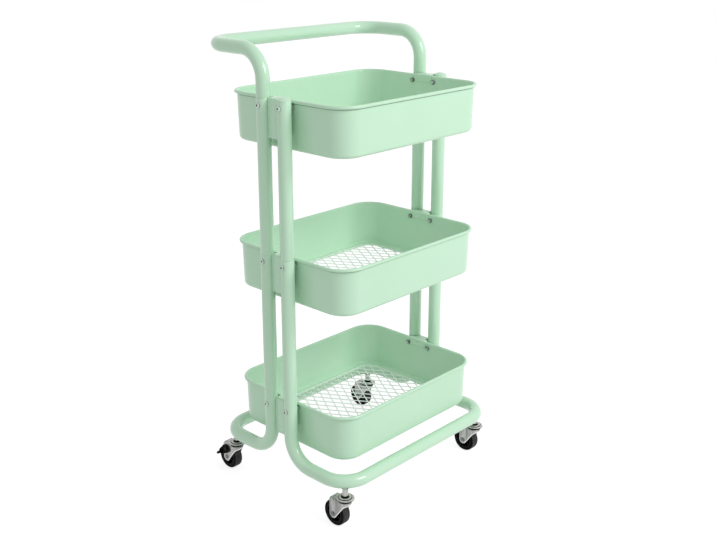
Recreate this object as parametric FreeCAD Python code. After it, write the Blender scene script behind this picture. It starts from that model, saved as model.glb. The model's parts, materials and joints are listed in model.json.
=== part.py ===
import FreeCAD, Part
import math
import os

from FreeCAD import Vector

# Rolling kitchen cart: three steel baskets hung between two pairs of bent tubes, on four
# swivel casters.  X runs along the baskets, -Y is the front, the handle overhangs +Y,
# and Z = 0 is the floor.  All sizes are in millimetres.

# Baskets
basket_length = 384.0
basket_width = 300.0
basket_depth = 90.0
basket_corner_radius = 48.0
basket_sheet = 1.0
basket_draft = 2.0
rim_bead_radius = 3.0
rim_curl_degrees = 290.0
floor_edge_radius = 8.0
floor_border = 10.0
tier_count = 3
tier_pitch = 279.0
basket_above_rail = 13.0

# Diamond mesh floors
mesh_pitch = 17.0
mesh_angle = 58.0
strand_width = 2.0
strand_thickness = 1.2
mesh_on_border = 6.0
mesh_edge_strip = 4.0
smallest_mesh_opening = 12.0

# Frame tubes
tube_diameter = 25.0
tube_wall = 1.2
bend_radius = 50.0
upright_spacing = 52.0
rail_spacing = 330.0
rim_to_tube = 1.5
handle_above_rim = 80.0
handle_reach = 174.0
neck_below_bolt = 20.0
neck_clearance = 0.15
neck_collar = 4.0
cap_dome = 4.0
cap_rim = 1.2
cap_clearance = 0.15
cap_to_bolt = 1.5

# Hook brackets
bracket_sheet = 1.5
bracket_drop = 68.0
bracket_bend = 3.0
bracket_web_outset = 2.0
bracket_gap = 0.5
lip_depth = 13.0
lip_to_bolt = 5.0
lip_corner = 5.0
web_corner = 3.0
lip_clearance = 0.2

# Basket fasteners
bolt_diameter = 5.0
bolt_drop = 12.0
bolt_hole_clearance = 0.25
bolt_head_diameter = 9.5
bolt_head_height = 2.8
bolt_socket_flats = 3.0
bolt_socket_depth = 1.8
bolt_thread_beyond_nut = 1.5
nut_across_flats = 8.0
nut_thickness = 4.0
nut_seat_gap = 0.05
spacer_diameter = 10.0
spacer_seat_gap = 0.05

# Casters
wheel_diameter = 50.0
wheel_width = 18.0
wheel_side_gap = 1.0
tyre_thickness = 6.0
tyre_shoulder = 3.0
tyre_seat_gap = 0.02
hub_web = 5.0
hub_rim = 3.0
hub_boss_diameter = 14.0
hub_rib = 1.6
hub_rib_count = 6
hub_rib_setback = 2.0
hub_end_gap = 0.3
caster_trail = 20.0
fork_sheet = 2.0
fork_crown_gap = 4.0
fork_tip_radius = 8.5
fork_bend = 4.0
fork_nose_skirt = 8.0
fork_notch_front = 6.0
fork_notch_radius = 10.0
axle_diameter = 6.0
axle_head_diameter = 9.0
axle_head_height = 1.8
running_clearance = 0.05
lower_race_diameter = 26.4
lower_race_height = 2.4
race_bore_diameter = 14.0
upper_race_diameter = 34.0
upper_race_height = 3.6
upper_race_edge = 1.8
upper_race_flange = 2.3
upper_race_step_diameter = 26.0
upper_race_crown_diameter = 23.0
ball_diameter = 4.0
ball_circle_diameter = 20.0
ball_count = 8
ball_above_lower_race = 0.4
ball_below_upper_race = 0.8
ball_seat_gap = 0.02
swivel_gap = 0.3
kingpin_diameter = 8.0
kingpin_head_diameter = 14.0
kingpin_head_height = 2.5
stem_collar_flats = 10.0
stem_collar_height = 16.8
stem_above_rail_centre = 2.0
insert_diameter = 11.0
insert_flange_diameter = 13.0
insert_flange = 1.5
insert_inside = 9.0
insert_gap = 0.05

# Foot brakes on the rear casters
brake_pivot_rise = 20.0
brake_pivot_front = 2.0
brake_pin_diameter = 3.5
brake_pin_head = 1.2
brake_pin_head_diameter = 7.0
brake_pad = 0.6
brake_pad_diameter = 8.0
pedal_thickness = 3.0
pedal_boss_radius = 7.0
pedal_foot_radius = 5.5
pedal_length = 18.6
pedal_droop = 36.0
pedal_side_gap = 0.4
pedal_tab_reach = 8.5
pedal_tab_width = 10.0
pedal_tab_thickness = 3.0

# Places that follow from the sizes above
tube_radius = tube_diameter / 2
tube_bore_radius = tube_radius - tube_wall
wheel_radius = wheel_diameter / 2
crown_under = wheel_diameter + fork_crown_gap
crown_top = crown_under + fork_sheet
lower_race_top = crown_top + lower_race_height
ball_height = lower_race_top + ball_above_lower_race
upper_race_under = ball_height + ball_below_upper_race
upper_race_top = upper_race_under + upper_race_height
collar_top = upper_race_top + stem_collar_height
rail_under = collar_top + insert_flange
rail_height = rail_under + tube_radius

rim_half_length = basket_length / 2
rim_half_width = basket_width / 2
rim_overhang = 2 * rim_bead_radius - basket_sheet
wall_half_length = rim_half_length - rim_overhang
wall_half_width = rim_half_width - rim_overhang
wall_corner_radius = basket_corner_radius - rim_overhang
opening_inset = basket_draft + floor_edge_radius + floor_border

upright_x = rim_half_length + rim_to_tube + tube_radius
upright_y = upright_spacing / 2
rail_y = rail_spacing / 2
lowest_rim = rail_height + tube_radius + basket_above_rail + basket_depth
rim_heights = [lowest_rim + tier * tier_pitch for tier in range(tier_count)]
bottom_rim, middle_rim, top_rim = rim_heights
bolt_heights = [rim - bolt_drop for rim in rim_heights]
handle_height = top_rim + handle_above_rim
neck_length = bolt_drop + neck_below_bolt
neck_radius = tube_bore_radius - neck_clearance
neck_bore_radius = neck_radius - tube_wall
bolt_radius = bolt_diameter / 2
bolt_hole_radius = bolt_radius + bolt_hole_clearance


def wall_lean(depth):
    # How far the outer face of a basket wall has moved inwards at a depth below the rim.
    leaning_height = basket_depth - floor_edge_radius - rim_bead_radius
    return basket_draft * (depth - rim_bead_radius) / leaning_height


lip_outer = wall_half_length - basket_sheet - wall_lean(lip_depth) - lip_clearance
lip_inner = lip_outer - bracket_sheet
nut_corner = nut_across_flats / math.sqrt(3)
nut_seat = wall_half_length - basket_sheet - wall_lean(bolt_drop + nut_corner) - nut_seat_gap
fork_half_inside = wheel_width / 2 + wheel_side_gap
fork_half_outside = fork_half_inside + fork_sheet

# The casters stand under the middle of each bend of the base rails.
bend_middle = bend_radius * (1 - math.cos(math.radians(45)))
caster_x = upright_x - bend_middle
caster_y = rail_y - bend_middle

up = Vector(0, 0, 1)
along_x = Vector(1, 0, 0)
along_y = Vector(0, 1, 0)
origin = Vector(0, 0, 0)
same_place = 1e-6

# Wheel axle and brake pin of a caster whose swivel axis is the Z axis
axle_centre = Vector(0, caster_trail, wheel_radius)
brake_centre = axle_centre + Vector(0, -brake_pivot_front, brake_pivot_rise)
pedal_inside = fork_half_outside + pedal_side_gap
pedal_outside = pedal_inside + pedal_thickness


def polygon_face(points):
    return Part.Face(Part.makePolygon(list(points) + [points[0]]))


def outline_face(edges):
    return Part.Face(Part.Wire([edge.toShape() for edge in edges]))


def line(start, end):
    return Part.LineSegment(start, end)


def arc(start, middle, end):
    return Part.Arc(start, middle, end)


def revolved(points):
    # Full turn about Z of an outline given as (radius, height) pairs.
    return polygon_face([Vector(r, 0, z) for r, z in points]).revolve(origin, up, 360)


def dome_arc(radius, foot, height):
    # Spherical crown over a disc, from its edge to its middle.
    sphere = (radius ** 2 + height ** 2) / (2 * height)
    centre = foot + height - sphere
    half_way = math.asin(radius / sphere) / 2
    middle = Vector(sphere * math.sin(half_way), 0, centre + sphere * math.cos(half_way))
    return arc(Vector(radius, 0, foot), middle, Vector(0, 0, foot + height))


def ridge_edges(shape, height):
    # The straight edges of a shape that run along Y at one height.
    edges = []
    for edge in shape.Edges:
        first, last = edge.Vertexes[0].Point, edge.Vertexes[-1].Point
        level = abs(first.z - height) < same_place and abs(last.z - height) < same_place
        if level and abs(first.x - last.x) < same_place:
            edges.append(edge)
    return edges


def drill_x(shape, x_from, x_to, y, z, radius):
    drill = Part.makeCylinder(radius, x_to - x_from, Vector(x_from, y, z), along_x)
    return shape.cut(drill)


def turned_about(shape):
    # The same shape at the opposite end of the cart.
    copy = shape.copy()
    copy.rotate(origin, up, 180)
    return copy


def rounded_rectangle(half_x, half_y, radius, z):
    corners = []
    for sign_x, sign_y, start in ((1, 1, 0), (-1, 1, 90), (-1, -1, 180), (1, -1, 270)):
        centre = Vector(sign_x * (half_x - radius), sign_y * (half_y - radius), z)
        swing = [math.radians(start + turn) for turn in (0, 45, 90)]
        corners.append([centre + Vector(math.cos(a), math.sin(a), 0) * radius for a in swing])
    edges = []
    for corner, following in zip(corners, corners[1:] + corners[:1]):
        edges.append(arc(*corner))
        edges.append(line(corner[2], following[0]))
    return outline_face(edges)


def bent_path(points):
    # Straight runs joined by tangent arcs of the bend radius.
    edges = []
    run_start = points[0]
    for before, corner, after in zip(points, points[1:], points[2:]):
        arriving = (corner - before).normalize()
        leaving = (after - corner).normalize()
        turn = arriving.getAngle(leaving)
        setback = bend_radius * math.tan(turn / 2)
        bend_start = corner - arriving * setback
        bend_end = corner + leaving * setback
        inward = (leaving - arriving).normalize()
        sag = bend_radius / math.cos(turn / 2) - bend_radius
        edges.append(line(run_start, bend_start))
        edges.append(arc(bend_start, corner + inward * sag, bend_end))
        run_start = bend_end
    edges.append(line(run_start, points[-1]))
    return Part.Wire([edge.toShape() for edge in edges])


def bent_tube(points):
    path = bent_path(points)
    heading = points[1] - points[0]
    solids = []
    for radius in (tube_radius, tube_bore_radius):
        section = Part.Wire(Part.Circle(points[0], heading, radius).toShape())
        solids.append(path.makePipeShell([section], True, False))
    return solids[0].cut(solids[1])


def necked_tube(foot, top):
    # Straight tube whose lower end is drawn down to plug into the tube below it.
    return revolved([
        (neck_bore_radius, foot - neck_length),
        (neck_radius, foot - neck_length),
        (neck_radius, foot),
        (tube_radius, foot),
        (tube_radius, top),
        (tube_bore_radius, top),
        (tube_bore_radius, foot + neck_collar),
        (neck_bore_radius, foot),
    ])


def drill_for_bolts(tube, heights, y):
    # Clear holes for the basket bolts through the uprights at both ends of the cart.
    for height in heights:
        for side in (-1, 1):
            centre = side * upright_x
            tube = drill_x(tube, centre - tube_diameter, centre + tube_diameter, y, height,
                           bolt_hole_radius)
    return tube


def base_tube(side):
    # Upright, outward bend, rail and the mirror image of it; side is -1 for the front.
    y = side * upright_y
    rail = side * rail_y
    tube = bent_tube([
        Vector(-upright_x, y, middle_rim),
        Vector(-upright_x, y, rail_height),
        Vector(-upright_x, rail, rail_height),
        Vector(upright_x, rail, rail_height),
        Vector(upright_x, y, rail_height),
        Vector(upright_x, y, middle_rim),
    ])
    tube = drill_for_bolts(tube, bolt_heights[:2], y)
    for x in (-caster_x, caster_x):
        foot = Vector(x, side * caster_y, rail_under - insert_flange)
        tube = tube.cut(Part.makeCylinder(insert_diameter / 2 + insert_gap, tube_radius, foot))
    return tube


def upper_upright(x, y):
    tube = necked_tube(middle_rim, top_rim)
    tube.translate(Vector(x, y, 0))
    return drill_for_bolts(tube, bolt_heights[1:], y)


def upright_cap(x, y):
    plug_radius = tube_bore_radius - cap_clearance
    plug_foot = top_rim - (bolt_drop - bolt_hole_radius - cap_to_bolt)
    shoulder = top_rim + cap_rim
    crown = shoulder + cap_dome
    outline = [
        line(Vector(0, 0, plug_foot), Vector(plug_radius, 0, plug_foot)),
        line(Vector(plug_radius, 0, plug_foot), Vector(plug_radius, 0, top_rim)),
        line(Vector(plug_radius, 0, top_rim), Vector(tube_radius, 0, top_rim)),
        line(Vector(tube_radius, 0, top_rim), Vector(tube_radius, 0, shoulder)),
        dome_arc(tube_radius, shoulder, cap_dome),
        line(Vector(0, 0, crown), Vector(0, 0, plug_foot)),
    ]
    return outline_face(outline).revolve(origin, up, 360).translated(Vector(x, y, 0))


def handle_tube():
    start = top_rim + neck_collar
    bar = bent_tube([
        Vector(-upright_x, upright_y, start),
        Vector(-upright_x, upright_y, handle_height),
        Vector(-upright_x, handle_reach, handle_height),
        Vector(upright_x, handle_reach, handle_height),
        Vector(upright_x, upright_y, handle_height),
        Vector(upright_x, upright_y, start),
    ])
    neck = necked_tube(top_rim, start)
    ends = [neck.translated(Vector(x, upright_y, 0)) for x in (-upright_x, upright_x)]
    return drill_for_bolts(bar.multiFuse(ends).removeSplitter(), bolt_heights[2:], upright_y)


def wall_outline():
    # Section of the basket sheet: floor border, bottom corner, leaning wall and rolled rim.
    # The first coordinate is measured outwards from the outer face of the wall at the rim.
    def at(u, z):
        return Vector(u, 0, z)

    def on_bead(radius, degrees):
        angle = math.radians(degrees)
        return at(bead_u + radius * math.cos(angle), bead_z + radius * math.sin(angle))

    def on_corner(radius, degrees):
        angle = math.radians(degrees)
        return at(corner_u + radius * math.cos(angle), corner_z + radius * math.sin(angle))

    inner_bead = rim_bead_radius - basket_sheet
    bead_u = inner_bead
    bead_z = -rim_bead_radius
    curl_end = 180 - rim_curl_degrees
    curl_middle = (180 + curl_end) / 2
    inner_corner = floor_edge_radius - basket_sheet
    corner_u = -basket_draft - floor_edge_radius
    corner_z = -basket_depth + floor_edge_radius
    floor_z = -basket_depth
    border_u = -opening_inset
    return [
        line(at(border_u, floor_z), at(corner_u, floor_z)),
        arc(at(corner_u, floor_z), on_corner(floor_edge_radius, -45), on_corner(floor_edge_radius, 0)),
        line(on_corner(floor_edge_radius, 0), on_bead(inner_bead, 180)),
        arc(on_bead(inner_bead, 180), on_bead(inner_bead, curl_middle), on_bead(inner_bead, curl_end)),
        line(on_bead(inner_bead, curl_end), on_bead(rim_bead_radius, curl_end)),
        arc(on_bead(rim_bead_radius, curl_end), on_bead(rim_bead_radius, curl_middle),
            on_bead(rim_bead_radius, 180)),
        line(on_bead(rim_bead_radius, 180), on_corner(inner_corner, 0)),
        arc(on_corner(inner_corner, 0), on_corner(inner_corner, -45),
            at(corner_u, floor_z + basket_sheet)),
        line(at(corner_u, floor_z + basket_sheet), at(border_u, floor_z + basket_sheet)),
        line(at(border_u, floor_z + basket_sheet), at(border_u, floor_z)),
    ]


def basket(rim):
    # The wall section runs straight along the four sides and turns about the four corners.
    section = outline_face(wall_outline())
    straight_x = wall_half_length - wall_corner_radius
    straight_y = wall_half_width - wall_corner_radius
    pieces = []
    reaches = [(straight_x, straight_y), (straight_y, straight_x)]
    for quarter in range(4):
        reach_out, reach_along = reaches[quarter % 2]
        side = section.translated(Vector(reach_out + wall_corner_radius, -reach_along, 0))
        side = side.extrude(Vector(0, 2 * reach_along, 0))
        corner = section.translated(Vector(reach_out + wall_corner_radius, reach_along, 0))
        corner = corner.revolve(Vector(reach_out, reach_along, 0), up, 90)
        for piece in (side, corner):
            piece.rotate(origin, up, 90 * quarter)
            pieces.append(piece)
    tray = pieces[0].multiFuse(pieces[1:]).removeSplitter()
    tray.translate(Vector(0, 0, rim))
    for y in (-upright_y, upright_y):
        tray = drill_x(tray, -rim_half_length, rim_half_length, y, rim - bolt_drop, bolt_hole_radius)
    return tray


def mesh_sheet():
    # Expanded sheet: diamond openings inside a plain edge strip, which lies on the floor border.
    half_x = wall_half_length - opening_inset + mesh_on_border
    half_y = wall_half_width - opening_inset + mesh_on_border
    corner = wall_corner_radius - opening_inset + mesh_on_border
    outline = rounded_rectangle(half_x, half_y, corner, 0)
    field_x = half_x - mesh_edge_strip
    field_y = half_y - mesh_edge_strip
    field = rounded_rectangle(field_x, field_y, corner - mesh_edge_strip, 0)

    slant = math.radians(mesh_angle)
    step_x = mesh_pitch / math.sin(slant)
    step_y = mesh_pitch / math.cos(slant)
    open_share = (mesh_pitch - strand_width) / mesh_pitch
    half_diamond = (open_share * step_x / 2, open_share * step_y / 2)
    columns = math.ceil(half_x / step_x)
    rows = 2 * math.ceil(half_y / step_y)
    diamonds = []
    for row in range(-rows, rows + 1):
        stagger = row % 2 / 2
        for column in range(-columns, columns + 1):
            centre = Vector((column + stagger) * step_x, row * step_y / 2, 0)
            diamonds.append(diamond_face(centre, *half_diamond))
    openings = [face for face in field.common(Part.makeCompound(diamonds)).Faces
                if face.Area > smallest_mesh_opening]
    sheet = Part.makeFace([outline.OuterWire] + [face.OuterWire for face in openings],
                          "Part::FaceMakerBullseye")
    return sheet.extrude(up * strand_thickness)


def diamond_face(centre, half_x, half_y):
    corners = [Vector(half_x, 0, 0), Vector(0, half_y, 0), Vector(-half_x, 0, 0), Vector(0, -half_y, 0)]
    return polygon_face([centre + corner for corner in corners])


def hook_bracket(rim):
    # Sheet hook at the +X end: lip inside the basket between the bolts, bend over the rim, web
    # between the tubes.
    web_outer = upright_x + bracket_web_outset
    web_inner = web_outer - bracket_sheet
    top = rim + bracket_sheet
    lip_foot = rim - lip_depth
    web_foot = rim - bracket_drop
    lip_half = upright_y - lip_to_bolt
    web_half = upright_y - tube_radius - bracket_gap
    narrow_from = upright_x - tube_radius - bracket_gap

    strip = Part.makeBox(web_outer - lip_inner, 2 * lip_half, top - web_foot,
                         Vector(lip_inner, -lip_half, web_foot))
    strip = strip.makeFillet(bracket_bend, ridge_edges(strip, top))
    hollow = Part.makeBox(web_inner - lip_outer, 2 * lip_half, rim - web_foot,
                          Vector(lip_outer, -lip_half, web_foot))
    hollow = hollow.makeFillet(bracket_bend - bracket_sheet, ridge_edges(hollow, rim))

    lip_zone = plate_outline(lip_half, lip_foot, top, lip_corner)
    lip_zone = lip_zone.translated(along_x * lip_inner).extrude(along_x * (narrow_from - lip_inner))
    web_zone = plate_outline(web_half, web_foot, top, web_corner)
    web_zone = web_zone.translated(along_x * lip_outer).extrude(along_x * (web_outer - lip_outer))
    return strip.cut(hollow).common(lip_zone.fuse(web_zone)).removeSplitter()


def plate_outline(half_width, foot, top, corner):
    # Upright plate in the YZ plane with its two lower corners rounded.
    def corner_arc(side):
        swing = corner * (1 - math.cos(math.radians(45)))
        return [
            Vector(0, side * half_width, foot + corner),
            Vector(0, side * (half_width - swing), foot + swing),
            Vector(0, side * (half_width - corner), foot),
        ]

    left, right = corner_arc(-1), corner_arc(1)
    return outline_face([
        line(Vector(0, -half_width, top), left[0]),
        arc(*left),
        line(left[2], right[2]),
        arc(right[2], right[1], right[0]),
        line(right[0], Vector(0, half_width, top)),
        line(Vector(0, half_width, top), Vector(0, -half_width, top)),
    ])


def laid_along_x(shape, x, y, z):
    # A shape turned about Z is laid down so that its own +Z points along +X.
    placed = shape.copy()
    placed.rotate(origin, along_y, 90)
    placed.translate(Vector(x, y, z))
    return placed


def hexagon(across_flats, height, foot):
    corner = across_flats / math.sqrt(3)
    angles = [math.radians(60 * k) for k in range(6)]
    points = [Vector(corner * math.cos(a), corner * math.sin(a), foot) for a in angles]
    return polygon_face(points).extrude(up * height)


def bolt_shape():
    # Domed head with a hexagonal socket above zero, shank below zero.
    length = upright_x + tube_radius - nut_seat + nut_thickness + bolt_thread_beyond_nut
    edge = bolt_head_diameter / 2
    outline = [
        line(Vector(0, 0, -length), Vector(bolt_radius, 0, -length)),
        line(Vector(bolt_radius, 0, -length), Vector(bolt_radius, 0, 0)),
        line(Vector(bolt_radius, 0, 0), Vector(edge, 0, 0)),
        dome_arc(edge, 0, bolt_head_height),
        line(Vector(0, 0, bolt_head_height), Vector(0, 0, -length)),
    ]
    bolt = outline_face(outline).revolve(origin, up, 360)
    socket_floor = bolt_head_height - bolt_socket_depth
    return bolt.cut(hexagon(bolt_socket_flats, bolt_head_height, socket_floor))


def nut_shape():
    nut = hexagon(nut_across_flats, nut_thickness, 0)
    return nut.cut(Part.makeCylinder(bolt_radius, nut_thickness))


def spacer_shape():
    # Sleeve from the basket wall to the upright, with its outer end hollowed to fit the tube.
    wall_outer = wall_half_length - wall_lean(bolt_drop - spacer_diameter / 2)
    foot = wall_outer - upright_x + spacer_seat_gap
    sleeve = Part.makeCylinder(spacer_diameter / 2, -foot, Vector(0, 0, foot))
    sleeve = sleeve.cut(Part.makeCylinder(bolt_hole_radius, -foot, Vector(0, 0, foot)))
    seat = Part.makeCylinder(tube_radius + spacer_seat_gap, tube_diameter,
                             Vector(-tube_radius, 0, 0), along_x)
    return sleeve.cut(seat)


def at_every_bolt(shape, x):
    solids = []
    for height in bolt_heights:
        for y in (-upright_y, upright_y):
            placed = laid_along_x(shape, x, y, height)
            solids.append(placed)
            solids.append(turned_about(placed))
    return Part.makeCompound(solids)


def fork_side_outline():
    # Side view of the hood in the YZ plane: level nose, rounded notch, slanted edge, rounded tip.
    nose = -fork_half_outside
    rear = caster_trail + fork_tip_radius
    nose_foot = crown_under - fork_nose_skirt
    notch = Vector(0, -fork_notch_front, nose_foot)
    to_axle = axle_centre - notch
    slope = math.atan2(to_axle.z, to_axle.y) - math.asin(fork_tip_radius / to_axle.Length)
    downhill = Vector(0, math.cos(slope), math.sin(slope))
    tangent = notch + downhill * math.sqrt(to_axle.Length ** 2 - fork_tip_radius ** 2)
    setback = fork_notch_radius * math.tan(-slope / 2)
    notch_start = notch - along_y * setback
    notch_end = notch + downhill * setback
    inward = (downhill - along_y).normalize()
    notch_middle = notch + inward * fork_notch_radius * (1 / math.cos(slope / 2) - 1)
    sweep_from = math.atan2(tangent.z - axle_centre.z, tangent.y - axle_centre.y)
    half_sweep = Vector(0, math.cos(sweep_from / 2), math.sin(sweep_from / 2))
    tip_middle = axle_centre + half_sweep * fork_tip_radius
    return outline_face([
        line(Vector(0, nose, crown_top), Vector(0, nose, nose_foot)),
        line(Vector(0, nose, nose_foot), notch_start),
        arc(notch_start, notch_middle, notch_end),
        line(notch_end, tangent),
        arc(tangent, tip_middle, Vector(0, rear, wheel_radius)),
        line(Vector(0, rear, wheel_radius), Vector(0, rear, crown_top)),
        line(Vector(0, rear, crown_top), Vector(0, nose, crown_top)),
    ])


def hood_block(half_width, top, bend, rear):
    # Solid with the hood's outline from above: round nose about the swivel axis, straight sides.
    nose = Part.makeCylinder(half_width, top)
    sides = Part.makeBox(2 * half_width, rear, top, Vector(-half_width, 0, 0))
    block = nose.fuse(sides).removeSplitter()
    rounded = []
    for edge in block.Edges:
        level = all(abs(vertex.Z - top) < same_place for vertex in edge.Vertexes)
        if level and any(vertex.Y < same_place for vertex in edge.Vertexes):
            rounded.append(edge)
    return block.makeFillet(bend, rounded)


def across_fork(radius, half_length, centre):
    start = Vector(-half_length, centre.y, centre.z)
    return Part.makeCylinder(radius, 2 * half_length, start, along_x)


def fork_shape(brake_side):
    # Pressed hood over the wheel with the lower ball race on its crown; brake_side is -1 or 1
    # for the plate that carries the brake pin, and 0 without a brake.
    rear = caster_trail + fork_tip_radius
    side_view = fork_side_outline().translated(along_x * -fork_half_outside)
    side_view = side_view.extrude(along_x * 2 * fork_half_outside)
    hood = hood_block(fork_half_outside, crown_top, fork_bend, rear).common(side_view)
    hood = hood.cut(hood_block(fork_half_inside, crown_under, fork_bend - fork_sheet, rear + fork_sheet))
    crown = Part.makeCylinder(lower_race_diameter / 2, fork_sheet, Vector(0, 0, crown_under))
    race_foot = Vector(0, 0, crown_top)
    race = Part.makeCylinder(lower_race_diameter / 2, lower_race_height, race_foot)
    race = race.cut(Part.makeCylinder(race_bore_diameter / 2, lower_race_height, race_foot))
    groove = Part.makeTorus(ball_circle_diameter / 2, ball_diameter / 2 + ball_seat_gap,
                            Vector(0, 0, ball_height))
    fork = hood.multiFuse([crown, race]).removeSplitter().cut(groove)
    fork = fork.cut(Part.makeCylinder(kingpin_diameter / 2 + running_clearance, crown_top))
    if brake_side:
        pin_hole = brake_pin_diameter / 2 + running_clearance
        fork = fork.cut(beside_fork(pin_hole, fork_half_inside, fork_half_outside, brake_side))
    axle_hole = axle_diameter / 2 + running_clearance
    return fork.cut(across_fork(axle_hole, fork_half_outside, axle_centre))


def beside_fork(radius, x_from, x_to, side):
    # Cylinder on the brake pin's axis, at one side of the fork.
    start = Vector(side * x_from, brake_centre.y, brake_centre.z)
    return Part.makeCylinder(radius, x_to - x_from, start, along_x * side)


def stem_shape():
    # Kingpin with riveted foot, upper ball race, hexagonal collar and threaded end.
    head_top = crown_under - swivel_gap
    pin = kingpin_diameter / 2
    stem = revolved([
        (0, head_top - kingpin_head_height),
        (kingpin_head_diameter / 2, head_top - kingpin_head_height),
        (kingpin_head_diameter / 2, head_top),
        (pin, head_top),
        (pin, upper_race_under),
        (upper_race_diameter / 2, upper_race_under),
        (upper_race_diameter / 2, upper_race_under + upper_race_edge),
        (upper_race_step_diameter / 2, upper_race_under + upper_race_flange),
        (upper_race_crown_diameter / 2, upper_race_top),
        (pin, upper_race_top),
        (pin, rail_height + stem_above_rail_centre),
        (0, rail_height + stem_above_rail_centre),
    ])
    groove = Part.makeTorus(ball_circle_diameter / 2, ball_diameter / 2 + swivel_gap,
                            Vector(0, 0, ball_height))
    collar = hexagon(stem_collar_flats, stem_collar_height, upper_race_top)
    return stem.cut(groove).fuse(collar).removeSplitter()


def insert_shape():
    # Flanged threaded bush set into the underside of the rail.
    pin = kingpin_diameter / 2 + insert_gap
    return revolved([
        (pin, collar_top),
        (insert_flange_diameter / 2, collar_top),
        (insert_flange_diameter / 2, rail_under),
        (insert_diameter / 2, rail_under),
        (insert_diameter / 2, rail_under + insert_inside),
        (pin, rail_under + insert_inside),
    ])


def ball_ring():
    balls = []
    for index in range(ball_count):
        angle = 2 * math.pi * index / ball_count
        centre = Vector(math.cos(angle), math.sin(angle), 0) * (ball_circle_diameter / 2)
        balls.append(Part.makeSphere(ball_diameter / 2, centre + up * ball_height))
    return Part.makeCompound(balls)


def axle_shape():
    # Pin through both fork sides, riveted over at both ends.
    pin = across_fork(axle_diameter / 2, fork_half_outside, axle_centre)
    for start in (-fork_half_outside - axle_head_height, fork_half_outside):
        foot = Vector(start, axle_centre.y, axle_centre.z)
        pin = pin.fuse(Part.makeCylinder(axle_head_diameter / 2, axle_head_height, foot, along_x))
    return pin.removeSplitter()


def brake_pin_shape(side):
    # Brake pad beside the tyre, pin through the fork side and the lever, and a riveted head.
    head_foot = pedal_outside + pedal_side_gap
    pad = beside_fork(brake_pad_diameter / 2, fork_half_inside - brake_pad, fork_half_inside, side)
    pin = beside_fork(brake_pin_diameter / 2, fork_half_inside, head_foot, side)
    head = beside_fork(brake_pin_head_diameter / 2, head_foot, head_foot + brake_pin_head, side)
    return pad.multiFuse([pin, head]).removeSplitter()


def about_axle(points):
    # Full turn about the axle of an outline given as (radius, place along the axle) pairs.
    solid = revolved(points)
    return laid_along_x(solid, axle_centre.x, axle_centre.y, axle_centre.z)


def tyre_shape():
    half = wheel_width / 2
    inner = wheel_radius - tyre_thickness
    tyre = about_axle([(inner, -half), (wheel_radius, -half), (wheel_radius, half), (inner, half)])
    shoulders = [edge for edge in tyre.Edges if is_circle(edge, wheel_radius)]
    return tyre.makeFillet(tyre_shoulder, shoulders)


def is_circle(edge, radius):
    return isinstance(edge.Curve, Part.Circle) and abs(edge.Curve.Radius - radius) < same_place


def hub_shape():
    # Moulded wheel centre: boss on the axle, thin ribbed web, and the rim that carries the tyre.
    half = wheel_width / 2
    boss_half = half + wheel_side_gap - hub_end_gap
    bore = axle_diameter / 2 + running_clearance
    boss = hub_boss_diameter / 2
    rim_outer = wheel_radius - tyre_thickness - tyre_seat_gap
    rim_inner = rim_outer - hub_rim
    hub = about_axle([
        (bore, -boss_half),
        (boss, -boss_half),
        (boss, -hub_web / 2),
        (rim_inner, -hub_web / 2),
        (rim_inner, -half),
        (rim_outer, -half),
        (rim_outer, half),
        (rim_inner, half),
        (rim_inner, hub_web / 2),
        (boss, hub_web / 2),
        (boss, boss_half),
        (bore, boss_half),
    ])
    rib_half = half - hub_rib_setback
    rib_from = (bore + boss) / 2
    rib_to = (rim_inner + rim_outer) / 2
    ribs = []
    for index in range(hub_rib_count):
        rib = Part.makeBox(2 * rib_half, hub_rib, rib_to - rib_from,
                           Vector(-rib_half, -hub_rib / 2, rib_from))
        rib.rotate(origin, along_x, index * 360 / hub_rib_count)
        ribs.append(rib.translated(axle_centre))
    return hub.multiFuse(ribs).removeSplitter()


def lever_outline():
    # Outline of two joined circles in the YZ plane: boss on the pin, smaller foot end behind it.
    lean = math.acos((pedal_boss_radius - pedal_foot_radius) / pedal_length)
    foot_centre = brake_centre + along_y * pedal_length

    def on(centre, radius, angle):
        return centre + Vector(0, math.cos(angle), math.sin(angle)) * radius

    boss_top = on(brake_centre, pedal_boss_radius, lean)
    boss_low = on(brake_centre, pedal_boss_radius, -lean)
    foot_top = on(foot_centre, pedal_foot_radius, lean)
    foot_low = on(foot_centre, pedal_foot_radius, -lean)
    return outline_face([
        line(boss_top, foot_top),
        arc(foot_top, on(foot_centre, pedal_foot_radius, 0), foot_low),
        line(foot_low, boss_low),
        arc(boss_low, on(brake_centre, pedal_boss_radius, math.pi), boss_top),
    ])


def pedal_shape(side):
    # Foot lever beside the fork, drooping to the rear, with a tab that stands out for the foot.
    lever = lever_outline().translated(along_x * side * pedal_inside)
    lever = lever.extrude(along_x * side * pedal_thickness)
    tab = Part.makeBox(pedal_thickness + pedal_tab_reach, pedal_tab_width, pedal_tab_thickness)
    tab_reach = pedal_inside if side > 0 else -pedal_outside - pedal_tab_reach
    tab.translate(Vector(tab_reach, brake_centre.y + pedal_length - pedal_tab_width / 2,
                         brake_centre.z - pedal_tab_thickness / 2))
    pedal = lever.fuse(tab).removeSplitter()
    pedal.rotate(brake_centre, along_x, -pedal_droop)
    pin_hole = brake_pin_diameter / 2 + running_clearance
    return pedal.cut(beside_fork(pin_hole, pedal_inside, pedal_outside, side))


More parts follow.
